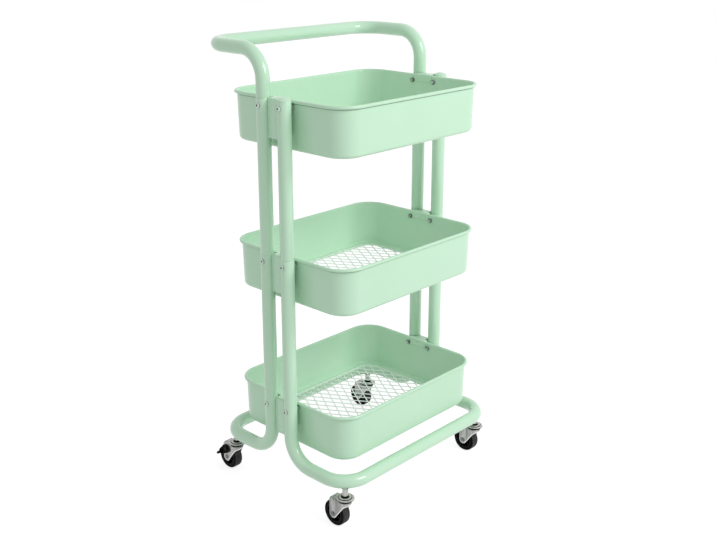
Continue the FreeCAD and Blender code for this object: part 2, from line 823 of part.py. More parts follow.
def build_nodes():
    nodes = {
        "front_base_tube": base_tube(-1),
        "rear_base_tube": base_tube(1),
        "handle": handle_tube(),
        "basket_bolts": at_every_bolt(bolt_shape(), upright_x + tube_radius),
        "basket_nuts": at_every_bolt(nut_shape(), nut_seat - nut_thickness),
        "basket_spacers": at_every_bolt(spacer_shape(), upright_x),
    }
    for end, x in (("left", -upright_x), ("right", upright_x)):
        nodes[f"front_upright_{end}"] = upper_upright(x, -upright_y)
        nodes[f"rear_upright_{end}"] = upper_upright(x, upright_y)
        nodes[f"upright_cap_{end}"] = upright_cap(x, -upright_y)
    sheet = mesh_sheet()
    for tier, rim in zip(("bottom", "middle", "top"), rim_heights):
        bracket = hook_bracket(rim)
        nodes[f"{tier}_basket"] = basket(rim)
        nodes[f"{tier}_mesh"] = sheet.translated(up * (rim - basket_depth + basket_sheet))
        nodes[f"{tier}_bracket_right"] = bracket
        nodes[f"{tier}_bracket_left"] = turned_about(bracket)
    inserts = []
    for row, y in (("front", -caster_y), ("rear", caster_y)):
        for end, side in (("left", -1), ("right", 1)):
            place = Vector(side * caster_x, y, 0)
            name = f"{row}_{end}"
            brake_side = side if row == "rear" else 0
            nodes[f"{name}_stem"] = stem_shape().translated(place)
            nodes[f"{name}_balls"] = ball_ring().translated(place)
            nodes[f"{name}_fork"] = fork_shape(brake_side).translated(place)
            nodes[f"{name}_axle"] = axle_shape().translated(place)
            nodes[f"{name}_hub"] = hub_shape().translated(place)
            nodes[f"{name}_tyre"] = tyre_shape().translated(place)
            inserts.append(insert_shape().translated(place))
            if brake_side:
                nodes[f"{name}_pedal"] = pedal_shape(side).translated(place)
                nodes[f"{name}_brake_pin"] = brake_pin_shape(side).translated(place)
    nodes["rail_inserts"] = Part.makeCompound(inserts)
    return nodes


os.makedirs("parts", exist_ok=True)
for node_name, node_shape in build_nodes().items():
    node_shape.exportStep(f"parts/{node_name}.step")
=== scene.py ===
import bpy
import json
import math
from mathutils import Matrix, Vector


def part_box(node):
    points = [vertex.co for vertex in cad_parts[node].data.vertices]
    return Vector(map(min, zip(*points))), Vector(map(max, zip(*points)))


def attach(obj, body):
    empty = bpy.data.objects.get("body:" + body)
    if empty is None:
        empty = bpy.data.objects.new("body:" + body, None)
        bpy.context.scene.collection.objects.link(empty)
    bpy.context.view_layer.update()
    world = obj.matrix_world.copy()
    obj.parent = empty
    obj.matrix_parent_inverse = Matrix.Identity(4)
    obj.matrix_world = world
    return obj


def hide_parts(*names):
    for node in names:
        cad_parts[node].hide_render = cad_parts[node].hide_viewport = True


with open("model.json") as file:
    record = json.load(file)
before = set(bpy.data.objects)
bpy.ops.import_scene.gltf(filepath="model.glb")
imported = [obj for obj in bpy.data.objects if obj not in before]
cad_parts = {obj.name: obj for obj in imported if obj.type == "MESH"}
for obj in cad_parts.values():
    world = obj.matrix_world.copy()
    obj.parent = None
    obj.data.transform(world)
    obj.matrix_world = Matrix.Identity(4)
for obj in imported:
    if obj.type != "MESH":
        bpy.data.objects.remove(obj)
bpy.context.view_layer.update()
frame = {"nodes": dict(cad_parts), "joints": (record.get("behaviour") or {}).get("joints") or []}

alongX = Vector((1, 0, 0))
alongY = Vector((0, 1, 0))
alongZ = Vector((0, 0, 1))
print("frame loaded:", len(frame["nodes"]), "nodes")


# Editing by hand: what the modelling below keeps doing

# how close points count as one, and how squarely a face has to look along an axis
snap = {"samePlace": 0.00002, "weld": 0.000005, "seed": 0.001, "facing": 0.9}


def leaveEdit():
    if bpy.context.object and bpy.context.object.mode != "OBJECT":
        bpy.ops.object.mode_set(mode="OBJECT")


def activate(piece):
    leaveEdit()
    bpy.ops.object.select_all(action="DESELECT")
    piece.select_set(True)
    bpy.context.view_layer.objects.active = piece


def edit(piece):
    activate(piece)
    bpy.ops.object.mode_set(mode="EDIT")
    bpy.ops.mesh.select_mode(type="VERT")
    bpy.ops.mesh.select_all(action="SELECT")


def addPiece(name, primitive, **settings):
    # a primitive by itself, its place put into its mesh, open for editing
    leaveEdit()
    bpy.ops.object.select_all(action="DESELECT")
    primitive(**settings)
    piece = bpy.context.object
    piece.name = name
    piece.data.name = name
    bpy.ops.object.transform_apply(location=True, rotation=True, scale=True)
    edit(piece)
    return piece


def startLine(name, point):
    # a small plane merged to the one point that a line is drawn from
    piece = addPiece(name, bpy.ops.mesh.primitive_plane_add, size=snap["seed"], location=point)
    bpy.ops.mesh.merge(type="CENTER")
    return piece


def drawBy(offset):
    bpy.ops.mesh.extrude_region_move(TRANSFORM_OT_translate={"value": offset})


def spinRound(centre, axis, degrees, steps):
    # right-handed about the axis
    bpy.ops.mesh.spin(steps=steps, angle=-math.radians(degrees), center=centre, axis=axis)


def pick(piece, kind, test):
    # selects points by place, edges by both ends, or faces by centre and normal
    bpy.ops.mesh.select_mode(type=kind)
    bpy.ops.mesh.select_all(action="DESELECT")
    bpy.ops.object.mode_set(mode="OBJECT")
    points = piece.data.vertices
    if kind == "VERT":
        for point in points:
            point.select = test(point.co)
    elif kind == "EDGE":
        for edge in piece.data.edges:
            edge.select = all(test(points[end].co) for end in edge.vertices)
    else:
        for face in piece.data.polygons:
            face.select = test(face.center, face.normal)
    bpy.ops.object.mode_set(mode="EDIT")


def near(a, b, reach=snap["samePlace"]):
    return abs(a - b) < reach


def weld():
    # merges doubled points, turns the faces outwards and closes the edit
    bpy.ops.mesh.select_mode(type="VERT")
    bpy.ops.mesh.select_all(action="SELECT")
    bpy.ops.mesh.remove_doubles(threshold=snap["weld"])
    bpy.ops.mesh.normals_make_consistent(inside=False)
    leaveEdit()


def modify(piece, kind, **settings):
    activate(piece)
    modifier = piece.modifiers.new(kind.title(), kind)
    for key, value in settings.items():
        setattr(modifier, key, value)
    bpy.ops.object.modifier_apply(modifier=modifier.name)


def soften(piece, width, segments=2, degrees=40):
    modify(piece, "BEVEL", width=width, segments=segments, limit_method="ANGLE",
           angle_limit=math.radians(degrees), use_clamp_overlap=True)


def smooth(piece, degrees=35):
    activate(piece)
    bpy.ops.object.shade_smooth_by_angle(angle=math.radians(degrees))


def copyOf(piece, name, matrix):
    twin = piece.copy()
    twin.data = piece.data.copy()
    twin.name = name
    twin.data.name = name
    twin.data.transform(matrix)
    bpy.context.scene.collection.objects.link(twin)
    return twin


def joined(name, pieces):
    leaveEdit()
    bpy.ops.object.select_all(action="DESELECT")
    for piece in pieces:
        piece.select_set(True)
    bpy.context.view_layer.objects.active = pieces[0]
    bpy.ops.object.join()
    pieces[0].name = name
    pieces[0].data.name = name
    return pieces[0]


def discard(piece):
    leaveEdit()
    bpy.data.objects.remove(piece)


def boolean(piece, cutter, operation="DIFFERENCE"):
    modify(piece, "BOOLEAN", operation=operation, object=cutter, solver="EXACT")
    discard(cutter)


def raiseOutline(offset):
    # fills the drawn outline and leads it out to a block
    bpy.ops.mesh.select_all(action="SELECT")
    bpy.ops.mesh.edge_face_add()
    drawBy(offset)
    weld()


def outwardFrom(axis):
    return alongX if axis is alongZ else alongZ


def lathe(name, line, steps, axis=alongZ, centre=Vector((0, 0, 0)), rounds=()):
    # a line of (radius, place along the axis) points, some corners rounded, spun about the axis
    outward = outwardFrom(axis)
    spots = [centre + outward * radius + axis * along for radius, along in line]
    piece = startLine(name, spots[0])
    for here, following in zip(spots, spots[1:]):
        drawBy(following - here)
    for index, radius, segments in rounds:
        target = spots[index]
        pick(piece, "VERT", lambda spot: (spot - target).length < snap["samePlace"])
        bpy.ops.mesh.bevel(affect="VERTICES", offset=radius, offset_type="OFFSET", segments=segments)
    bpy.ops.mesh.select_all(action="SELECT")
    spinRound(centre, axis, 360, steps)
    weld()
    return piece


def domed(name, radius, height, edge, steps, axis=alongZ, shank=None, domeSteps=6):
    # a dome on a short straight edge, its pole up the axis, with a shank below where one is given
    outward = outwardFrom(axis)
    sphere = (radius ** 2 + height ** 2) / (2 * height)
    piece = startLine(name, axis * height)
    sweep = math.degrees(math.asin(radius / sphere))
    spinRound(axis * (height - sphere), axis.cross(outward), sweep, domeSteps)
    drawBy(-axis * edge)
    if shank:
        shankRadius, shankLong = shank
        drawBy(outward * (shankRadius - radius))
        drawBy(-axis * shankLong)
        drawBy(-outward * shankRadius)
    else:
        drawBy(-outward * radius)
    bpy.ops.mesh.select_all(action="SELECT")
    spinRound(Vector((0, 0, 0)), axis, 360, steps)
    weld()
    return piece


def paint(piece, finish, *others):
    # one finish all over, then others on the faces that their tests pick
    piece.data.materials.clear()
    piece.data.materials.append(finish)
    for index, (other, test) in enumerate(others, 1):
        piece.data.materials.append(other)
        for face in piece.data.polygons:
            if test(face.center, face.normal):
                face.material_index = index


def wear(piece, finish, body, slot, *nodes):
    # finish where it isn't painted yet, body and the nodes that this piece stands for
    if finish:
        paint(piece, finish)
    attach(piece, body)
    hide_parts(*nodes)


# Shader maths

class Wire:
    # one output of a node; sums on it add Math nodes
    def __init__(self, finish, socket):
        self.finish = finish
        self.socket = socket

    def math(self, operation, left, right):
        return self.finish.node("ShaderNodeMath", {"operation": operation}, {0: left, 1: right})

    def __add__(self, other):
        return self.math("ADD", self, other)

    def __mul__(self, other):
        return self.math("MULTIPLY", self, other)

    __radd__ = __add__
    __rmul__ = __mul__


class Finish:
    # the nodes of one material or of the surround, patterns on Object coordinates
    def __init__(self, owner):
        self.material = owner
        owner.use_nodes = True
        self.tree = owner.node_tree
        self.tree.nodes.clear()

    def place(self):
        return self.node("ShaderNodeTexCoord", output="Object")

    def node(self, kind, settings=None, sockets=None, output=0):
        made = self.tree.nodes.new(kind)
        for key, value in (settings or {}).items():
            setattr(made, key, value)
        for key, value in (sockets or {}).items():
            if isinstance(value, Wire):
                self.tree.links.new(value.socket, made.inputs[key])
            else:
                made.inputs[key].default_value = value
        return None if output is None else Wire(self, made.outputs[output])

    def noise(self, scale, detail=2.0, roughness=0.5, stretch=None):
        place = self.place()
        if stretch:
            place = self.node("ShaderNodeMapping", None, {"Vector": place, "Scale": stretch})
        return self.node("ShaderNodeTexNoise", None,
                         {"Vector": place, "Scale": scale, "Detail": detail, "Roughness": roughness})

    def ramp(self, value, low, high):
        # 0 below low, 1 above high
        return self.node("ShaderNodeMapRange", None,
                         {"Value": value, "From Min": low, "From Max": high})

    def blend(self, amount, first, second):
        return self.node("ShaderNodeMix", {"data_type": "RGBA"},
                         {"Factor": amount, "A": first, "B": second}, output=2)

    def bump(self, height, strength, distance):
        return self.node("ShaderNodeBump", None,
                         {"Height": height, "Strength": strength, "Distance": distance})

    def surface(self, **sockets):
        named = {key.replace("_", " "): value for key, value in sockets.items()}
        shader = self.node("ShaderNodeBsdfPrincipled", None, named)
        self.node("ShaderNodeOutputMaterial", None, {"Surface": shader}, output=None)
        return self.material


# Finishes

mint = (0.590, 0.855, 0.640, 1)
mintDeep = (0.565, 0.838, 0.616, 1)
# painted shade: darker green for the crease under the rolled rim
rimShadeMint = (0.300, 0.480, 0.335, 1)
rimShadeDeep = (0.260, 0.430, 0.295, 1)
# painted light: the mesh floors get a much paler copy of the basket green, for the strong light on their
# strands
meshLitPale = (0.90, 0.975, 0.92, 1)
meshLitMint = (0.85, 0.955, 0.88, 1)
capMint = (0.600, 0.830, 0.650, 1)
capPale = (0.650, 0.860, 0.695, 1)


coating = {"driftScale": 9, "driftDetail": 3, "driftRange": (0.35, 0.65), "driftShare": 0.7,
           "speckScale": 420, "speckRough": 0.10, "peelScale": 900, "peelUneven": 0.6, "peelDeep": 0.00025,
           "clearRough": 0.06}


def powderCoat(name, light, deep, peel, rough, coat):
    # sprayed and baked: faint drift of shade, fine orange peel
    finish = Finish(bpy.data.materials.new(name))
    drift = finish.ramp(finish.noise(coating["driftScale"], coating["driftDetail"]), *coating["driftRange"])
    speck = finish.noise(coating["speckScale"])
    grain = finish.noise(coating["peelScale"], roughness=coating["peelUneven"])
    shade = drift * coating["driftShare"] + speck * (1 - coating["driftShare"])
    return finish.surface(Base_Color=finish.blend(shade, deep, light),
                          Roughness=rough + coating["speckRough"] * speck,
                          Normal=finish.bump(grain, peel, coating["peelDeep"]),
                          Coat_Weight=coat, Coat_Roughness=coating["clearRough"])


drawnSteel = {"streakScale": 190, "streakDetail": 1.5, "streakStretch": (1.0, 1.0, 0.08),
              "streakRange": (0.36, 0.64), "streakShare": 0.75, "streakRough": 0.05, "streakBump": 0.10,
              "streakDeep": 0.0001, "hazeScale": 55, "hazeDetail": 3, "hazeRange": (0.42, 0.72),
              "hazeRough": 0.10}


def plated(name, colour, rough, metal=1.0, dulled=0.42):
    # bright plating over drawn steel: streaks up and down, a little haze
    finish = Finish(bpy.data.materials.new(name))
    streaks = finish.noise(drawnSteel["streakScale"], drawnSteel["streakDetail"],
                           stretch=drawnSteel["streakStretch"])
    cloud = finish.noise(drawnSteel["hazeScale"], drawnSteel["hazeDetail"])
    haze = finish.ramp(cloud, *drawnSteel["hazeRange"])
    dull = tuple(dulled * part for part in colour[:3]) + (1,)
    share = drawnSteel["streakShare"]
    dark = finish.ramp(streaks, *drawnSteel["streakRange"]) * share + haze * (1 - share)
    uneven = rough + drawnSteel["hazeRough"] * haze + drawnSteel["streakRough"] * streaks
    return finish.surface(Base_Color=finish.blend(dark, colour, dull), Roughness=uneven, Metallic=metal,
                          Normal=finish.bump(streaks, drawnSteel["streakBump"], drawnSteel["streakDeep"]))


handled = {"rubScale": 70, "rubDetail": 4, "rubUneven": 0.6, "rubRange": (0.48, 0.75), "rubRough": 0.10,
           "grainBump": 0.12, "grainDeep": 0.0003}


def moulded(name, colour, worn, rough, grainScale=700, shine=0.5):
    # moulded plastic or rubber: fine grain, paler where it has been handled
    finish = Finish(bpy.data.materials.new(name))
    rubs = finish.noise(handled["rubScale"], handled["rubDetail"], handled["rubUneven"])
    rubbed = finish.ramp(rubs, *handled["rubRange"])
    grain = finish.noise(grainScale)
    return finish.surface(Base_Color=finish.blend(rubbed, colour, worn),
                          Roughness=rough + handled["rubRough"] * rubbed, Specular_IOR_Level=shine,
                          Normal=finish.bump(grain, handled["grainBump"], handled["grainDeep"]))


frameCoat = powderCoat("frameCoat", mint, mintDeep, peel=0.06, rough=0.15, coat=0.30)
basketCoat = powderCoat("basketCoat", mint, mintDeep, peel=0.08, rough=0.25, coat=0.22)
# painted light: paler copy of the basket paint for the mesh floors
meshLitCoat = powderCoat("meshLitCoat", meshLitPale, meshLitMint, peel=0.06, rough=0.25, coat=0.22)
bracketCoat = powderCoat("bracketCoat", mint, mintDeep, peel=0.08, rough=0.22, coat=0.30)
# painted shade for the crease under the rim
rimShadeCoat = powderCoat("rimShadeCoat", rimShadeMint, rimShadeDeep, peel=0.08, rough=0.40, coat=0.10)
capPlastic = moulded("capPlastic", capMint, capPale, rough=0.40)
plating = plated("casterPlating", (0.55, 0.545, 0.54, 1), rough=0.24, metal=0.55)
headZinc = plated("casterHead", (0.72, 0.71, 0.68, 1), rough=0.34, metal=0.30, dulled=0.60)
# painted highlight: near white plating for the strip along the hood's slanted edge
paintedHighlightEdge = plated("casterEdgeHighlight", (0.94, 0.94, 0.93, 1), rough=0.22, metal=0.80, dulled=0.90)
# painted light and shade: one zinc in two copies, paler and tinted green for the bolt heads and rail inserts,
# darker for the nuts
paintedLightZinc = plated("paintedLightZinc", (0.62, 0.73, 0.65, 1), rough=0.24, metal=0.7)
paintedShadeZinc = plated("paintedShadeZinc", (0.26, 0.29, 0.27, 1), rough=0.26)
ballSteel = plated("ballSteel", (0.45, 0.45, 0.46, 1), rough=0.10)
axleSteel = plated("axleSteel", (0.17, 0.17, 0.175, 1), rough=0.24)
pinSteel = plated("pinSteel", (0.030, 0.030, 0.032, 1), rough=0.35)
# painted shade: near black for the bolt sockets, the seam under the bolt heads and the gaps about the swivel
# races
paintedShadeBlack = moulded("paintedShadeBlack", (0.006, 0.006, 0.006, 1), (0.014, 0.014, 0.013, 1), rough=0.50,
                      shine=0.15)
hubPlastic = moulded("hubPlastic", (0.006, 0.006, 0.007, 1), (0.012, 0.012, 0.013, 1), rough=0.45,
                     shine=0.06)
tyreRubber = moulded("tyreRubber", (0.004, 0.004, 0.004, 1), (0.008, 0.008, 0.008, 1), rough=0.55,
                     grainScale=900, shine=0.04)
treadRubber = moulded("treadRubber", (0.036, 0.036, 0.037, 1), (0.075, 0.074, 0.072, 1), rough=0.62,
                      grainScale=500, shine=0.15)
pedalPlastic = moulded("pedalPlastic", (0.004, 0.004, 0.004, 1), (0.009, 0.009, 0.009, 1), rough=0.45,
                       shine=0.05)
# painted shade: the spacers are a dark green grey for the shaded gap between tube and basket
paintedShadeNylon = moulded("paintedShadeNylon", (0.28, 0.38, 0.31, 1), (0.34, 0.45, 0.37, 1), rough=0.45)
print("finishes ready")


# Places that the frame gives

uprightLow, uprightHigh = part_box("front_upright_left")
tubeRadius = (uprightHigh.x - uprightLow.x) / 2
uprightX = -(uprightHigh.x + uprightLow.x) / 2
uprightY = -(uprightHigh.y + uprightLow.y) / 2
rowY = {"front": -uprightY, "rear": uprightY}
endX = {"left": -uprightX, "right": uprightX}
tierNames = ("bottom", "middle", "top")
rims = {tier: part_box(f"{tier}_basket")[1].z for tier in tierNames}
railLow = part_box("front_base_tube")[0]
railY = -railLow.y - tubeRadius
railZ = railLow.z + tubeRadius
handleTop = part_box("handle")[1]
handleY = handleTop.y - tubeRadius
handleZ = handleTop.z - tubeRadius
jointAt = {joint["name"]: Vector(joint["pos_m"]) for joint in frame["joints"]}
halfTurn = Matrix.Rotation(math.pi, 4, "Z")
quarters = ((1, 1), (-1, 1), (-1, -1), (1, -1))  # signs of X and Y, corner by corner


# Bent tubes

tube = {"wall": 0.0012, "bend": 0.050, "round": 48, "bendSteps": 14, "edge": 0.0005}


def bentTube(name, corners):
    piece = addPiece(name, bpy.ops.mesh.primitive_circle_add, vertices=tube["round"],
                     radius=tubeRadius, location=corners[0])
    here = corners[0]
    for before, corner, after in zip(corners, corners[1:], corners[2:]):
        arriving = (corner - before).normalized()
        leaving = (after - corner).normalized()
        bendStart = corner - arriving * tube["bend"]
        drawBy(bendStart - here)
        spinRound(bendStart + leaving * tube["bend"], arriving.cross(leaving), 90, tube["bendSteps"])
        here = corner + leaving * tube["bend"]
    drawBy(corners[-1] - here)
    weld()
    modify(piece, "SOLIDIFY", thickness=tube["wall"], offset=-1)
    soften(piece, tube["edge"])
    smooth(piece)
    return piece


def loopCorners(y, endZ, barY, barZ):
    # up or down at one end of the cart, across, along the bar and back
    left = [Vector((-uprightX, y, endZ)), Vector((-uprightX, y, barZ)), Vector((-uprightX, barY, barZ))]
    right = [Vector((-spot.x, spot.y, spot.z)) for spot in reversed(left)]
    return left + right


frontBase = bentTube("frontBaseTube", loopCorners(-uprightY, rims["middle"], -railY, railZ))
wear(copyOf(frontBase, "rearBaseTube", halfTurn), frameCoat, "cart", "frame_coat", "rear_base_tube")
wear(frontBase, frameCoat, "cart", "frame_coat", "front_base_tube")
pushHandle = bentTube("pushHandle", loopCorners(uprightY, rims["top"], handleY, handleZ))
wear(pushHandle, frameCoat, "cart", "frame_coat", "handle")

uprightFoot = Vector((0, 0, rims["middle"]))
upright = bentTube("upright", [uprightFoot, Vector((0, 0, rims["top"]))])
for row, y in rowY.items():
    for end, x in endX.items():
        placed = copyOf(upright, f"{row}Upright{end.title()}", Matrix.Translation((x, y, 0)))
        wear(placed, frameCoat, "cart", "frame_coat", f"{row}_upright_{end}")
discard(upright)
print("tubes bent")


# End caps of the front uprights

cap = {"dome": 0.0040, "edge": 0.0012, "round": 40, "crease": 50}

endCap = domed("endCap", tubeRadius, cap["dome"], cap["edge"], cap["round"])
smooth(endCap, cap["crease"])
for end, x in endX.items():
    seat = Matrix.Translation((x, -uprightY, rims["top"] + cap["edge"]))
    placed = copyOf(endCap, f"endCap{end.title()}", seat)
    wear(placed, capPlastic, "cart", "cap_plastic", f"upright_cap_{end}")
discard(endCap)
print("end caps set")


# Pressed baskets: the middle of the sheet's section is drawn, then led round the four sides

basket = {"sheet": 0.0010, "depth": 0.090, "corner": 0.043, "draft": 0.0020, "bead": 0.0025,
          "curl": 290, "floorRound": 0.0075, "floorBorder": 0.010, "seam": 0.0048, "floorSteps": 6,
          "curlSteps": 18, "cornerSteps": 18, "crease": 40, "steep": 0.15}


def pressedBasket(name):
    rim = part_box("top_basket")[1]
    wallX = rim.x - 2 * basket["bead"]
    wallY = rim.y - 2 * basket["bead"]
    straightX = wallX - basket["corner"]
    straightY = wallY - basket["corner"]
    half = basket["sheet"] / 2
    floorZ = half - basket["depth"]
    roundX = wallX - basket["draft"] - half - basket["floorRound"]
    bead = Vector((wallX + basket["bead"] - half, -straightY, -basket["bead"] - half))

    piece = startLine(name, Vector((roundX - basket["floorBorder"], -straightY, floorZ)))
    drawBy(alongX * basket["floorBorder"])
    roundCentre = Vector((roundX, -straightY, floorZ + basket["floorRound"]))
    spinRound(roundCentre, -alongY, 90, basket["floorSteps"])
    wallRise = bead - alongX * basket["bead"] - roundCentre - alongX * basket["floorRound"]
    # the last stretch of wall under the bead is drawn apart to take the painted shade
    seamShare = basket["seam"] / wallRise.z
    drawBy(wallRise * (1 - seamShare))
    drawBy(wallRise * seamShare)
    spinRound(bead, alongY, basket["curl"], basket["curlSteps"])
    bpy.ops.mesh.select_all(action="SELECT")
    legs = ((alongY, straightY), (-alongX, straightX), (-alongY, straightY), (alongX, straightX))
    for (heading, reach), (signX, signY) in zip(legs, quarters):
        drawBy(heading * 2 * reach)
        spinRound(Vector((signX * straightX, signY * straightY, 0)), alongZ, 90, basket["cornerSteps"])
    weld()
    modify(piece, "SOLIDIFY", thickness=basket["sheet"], offset=0)
    smooth(piece, basket["crease"])
    return piece


def inRimShade(spot, normal):
    # painted shade on the outside of the wall, in the crease under the rolled rim
    crease = -basket["bead"] - basket["seam"] / 2
    outside = normal.x * spot.x + normal.y * spot.y > 0
    return outside and near(spot.z, crease, basket["sheet"]) and abs(normal.z) < basket["steep"]


tray = pressedBasket("basket")
# painted shade in the crease under the rim
paint(tray, basketCoat, (rimShadeCoat, inRimShade))
for tier in tierNames:
    placed = copyOf(tray, f"{tier}Basket", Matrix.Translation((0, 0, rims[tier])))
    wear(placed, None, "cart", "basket_coat", f"{tier}_basket")
discard(tray)
print("baskets pressed")


# Diamond mesh floors: a slanted grid, trimmed round, its cells opened

mesh = {"pitch": 0.017, "slant": 58, "strand": 0.0020, "strip": 0.003, "corner": 0.029, "thick": 0.0012,
        "smallest": 0.000024, "edge": 0.0003, "cornerCuts": 5, "cells": 28, "cutSnap": 0.00001, "crease": 50}


def trimRound(inset, cutAway):
    # straight cuts along the four sides and round the corners
    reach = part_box("top_mesh")[1]
    radius = mesh["corner"] - inset
    middle = Vector((reach.x - mesh["corner"], reach.y - mesh["corner"], 0))
    stops = mesh["cornerCuts"] + 1
    for quarter, (signX, signY) in enumerate(quarters):
        for stop in range(stops):
            angle = math.radians(90 * (quarter + stop / stops))
            outward = Vector((math.cos(angle), math.sin(angle), 0))
            spot = Vector((signX * middle.x, signY * middle.y, 0)) + outward * radius
            bpy.ops.mesh.select_all(action="SELECT")
            bpy.ops.mesh.bisect(plane_co=spot, plane_no=outward, clear_outer=cutAway,
                                threshold=mesh["cutSnap"])


def meshFloor(name):
    slant = math.radians(mesh["slant"])
    stepX = mesh["pitch"] / math.sin(slant)
    stepY = mesh["pitch"] / math.cos(slant)
    square = mesh["pitch"] * math.sqrt(2)
    piece = addPiece(name, bpy.ops.mesh.primitive_grid_add, x_subdivisions=mesh["cells"],
                     y_subdivisions=mesh["cells"], size=mesh["cells"] * mesh["pitch"],
                     rotation=(0, 0, math.radians(45)))
    bpy.ops.transform.resize(value=(stepX / square, stepY / square, 1), center_override=(0, 0, 0))
    bpy.ops.transform.translate(value=alongX * (stepX / 2))
    trimRound(0, True)
    trimRound(mesh["strip"], False)
    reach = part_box("top_mesh")[1]
    fieldX = reach.x - mesh["strip"]
    fieldY = reach.y - mesh["strip"]
    fieldRound = mesh["corner"] - mesh["strip"]

    def inField(centre):
        pastX = max(0, abs(centre.x) - (fieldX - fieldRound))
        pastY = max(0, abs(centre.y) - (fieldY - fieldRound))
        return math.hypot(pastX, pastY) < fieldRound

    leaveEdit()
    openable = [face.index for face in piece.data.polygons
                if inField(face.center) and face.area > mesh["smallest"]]
    edit(piece)
    bpy.ops.mesh.select_mode(type="FACE")
    bpy.ops.mesh.select_all(action="DESELECT")
    bpy.ops.object.mode_set(mode="OBJECT")
    for index in openable:
        piece.data.polygons[index].select = True
    bpy.ops.object.mode_set(mode="EDIT")
    bpy.ops.mesh.inset(thickness=mesh["strand"] / 2, use_individual=True, use_even_offset=True)
    bpy.ops.mesh.delete(type="FACE")
    weld()
    modify(piece, "SOLIDIFY", thickness=mesh["thick"], offset=0)
    soften(piece, mesh["edge"])
    smooth(piece, mesh["crease"])
    return piece


diamonds = meshFloor("mesh")
for tier in tierNames:
    low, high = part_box(f"{tier}_mesh")
    placed = copyOf(diamonds, f"{tier}Mesh", Matrix.Translation((0, 0, (low.z + high.z) / 2)))
    wear(placed, meshLitCoat, "cart", "mesh_coat", f"{tier}_mesh")
discard(diamonds)
print("mesh floors opened")


# Hook brackets: a lip inside the basket between the bolts, a turn over the rim, a web between the uprights

hook = {"sheet": 0.0015, "turn": 0.00225, "lipDrop": 0.013, "lipRound": 0.005, "webRound": 0.003,
        "gap": 0.0005, "edge": 0.0003, "turnSteps": 5, "roundSteps": 5, "snap": 0.00005}


def hookBracket(name):
    low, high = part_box("top_bracket_right")
    half = hook["sheet"] / 2
    turn = hook["turn"]
    lipX = low.x + half
    webX = high.x - half
    overZ = high.z - half - rims["top"]
    lipZ = -hook["lipDrop"]
    webZ = low.z - rims["top"]
    wide = high.y
    narrow = uprightY - tubeRadius - hook["gap"]
    stepX = uprightX - tubeRadius - hook["gap"]

    piece = startLine(name, Vector((lipX, -wide, lipZ)))
    for span in (wide - narrow, 2 * narrow, wide - narrow):
        drawBy(alongY * span)
    bpy.ops.mesh.select_all(action="SELECT")
    drawBy(alongZ * (overZ - turn - lipZ))
    spinRound(Vector((lipX + turn, 0, overZ - turn)), alongY, 90, hook["turnSteps"])
    drawBy(alongX * (stepX - lipX - turn))
    pick(piece, "EDGE", lambda spot: near(spot.x, stepX) and abs(spot.y) < narrow + hook["snap"])
    drawBy(alongX * (webX - turn - stepX))
    spinRound(Vector((webX - turn, 0, overZ - turn)), alongY, 90, hook["turnSteps"])
    drawBy(alongZ * (webZ - overZ + turn))
    rounded = ((lipX, wide, lipZ, hook["lipRound"]), (webX, narrow, webZ, hook["webRound"]),
               (stepX, wide, overZ, hook["webRound"]))
    for x, y, z, radius in rounded:
        corner = Vector((x, y, z))
        pick(piece, "VERT",
             lambda spot: (Vector((spot.x, abs(spot.y), spot.z)) - corner).length < hook["snap"])
        bpy.ops.mesh.bevel(affect="VERTICES", offset=radius, segments=hook["roundSteps"])
    weld()
    modify(piece, "SOLIDIFY", thickness=hook["sheet"], offset=0)
    soften(piece, hook["edge"])
    smooth(piece)
    return piece


bracket = hookBracket("bracket")
for tier in tierNames:
    lift = Matrix.Translation((0, 0, rims[tier]))
    for end, turned in (("Right", lift), ("Left", lift @ halfTurn)):
        placed = copyOf(bracket, f"{tier}Bracket{end}", turned)
        wear(placed, bracketCoat, "cart", "bracket_coat", f"{tier}_bracket_{end.lower()}")
discard(bracket)
print("brackets bent")


# Bolts and nuts of the baskets

fastener = {"drop": 0.012, "headRadius": 0.00475, "headHeight": 0.0022, "headEdge": 0.0006, "shank": 0.0025,
            "socketFlats": 0.0030, "socketDeep": 0.0018, "nutFlats": 0.008, "nutThick": 0.004,
            "threadOut": 0.0015, "round": 28, "socketShade": 0.51, "nutEdge": 0.0005, "hexAngle": 30,
            "crease": 25}


def atEveryBolt(piece, name, x):
    # two at each end of each basket
    copies = []
    for tier in tierNames:
        for y in (-uprightY, uprightY):
            place = Matrix.Translation((x, y, rims[tier] - fastener["drop"]))
            copies.append(copyOf(piece, f"{name}Right", place))
            copies.append(copyOf(piece, f"{name}Left", halfTurn @ place))
    discard(piece)
    return joined(name, copies)


headX = uprightX + tubeRadius
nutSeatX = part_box("basket_nuts")[1].x
shankLong = headX - nutSeatX + fastener["nutThick"] + fastener["threadOut"]
bolt = domed("bolt", fastener["headRadius"], fastener["headHeight"], fastener["headEdge"],
             fastener["round"], alongX, (fastener["shank"], shankLong))
socket = addPiece("socket", bpy.ops.mesh.primitive_cylinder_add, vertices=6,
                  radius=fastener["socketFlats"] / math.sqrt(3), depth=2 * fastener["socketDeep"],
                  location=(fastener["headHeight"], 0, 0), rotation=(0, math.pi / 2, 0))
leaveEdit()
boolean(bolt, socket)
smooth(bolt)


def inBoltShade(spot, normal):
    # painted shade in the socket and in the seam under the head
    seam = -fastener["headEdge"] < spot.x < 0
    socketReach = fastener["socketShade"] * fastener["socketFlats"]
    return seam or (spot.x > 0 and math.hypot(spot.y, spot.z) < socketReach)


# painted light: the bolt heads take the paler copy of the zinc
# painted shade in the socket and under the head
paint(bolt, paintedLightZinc, (paintedShadeBlack, inBoltShade))
basketBolts = atEveryBolt(bolt, "basketBolts", headX + fastener["headEdge"])
wear(basketBolts, None, "cart", "bolt_steel", "basket_bolts")

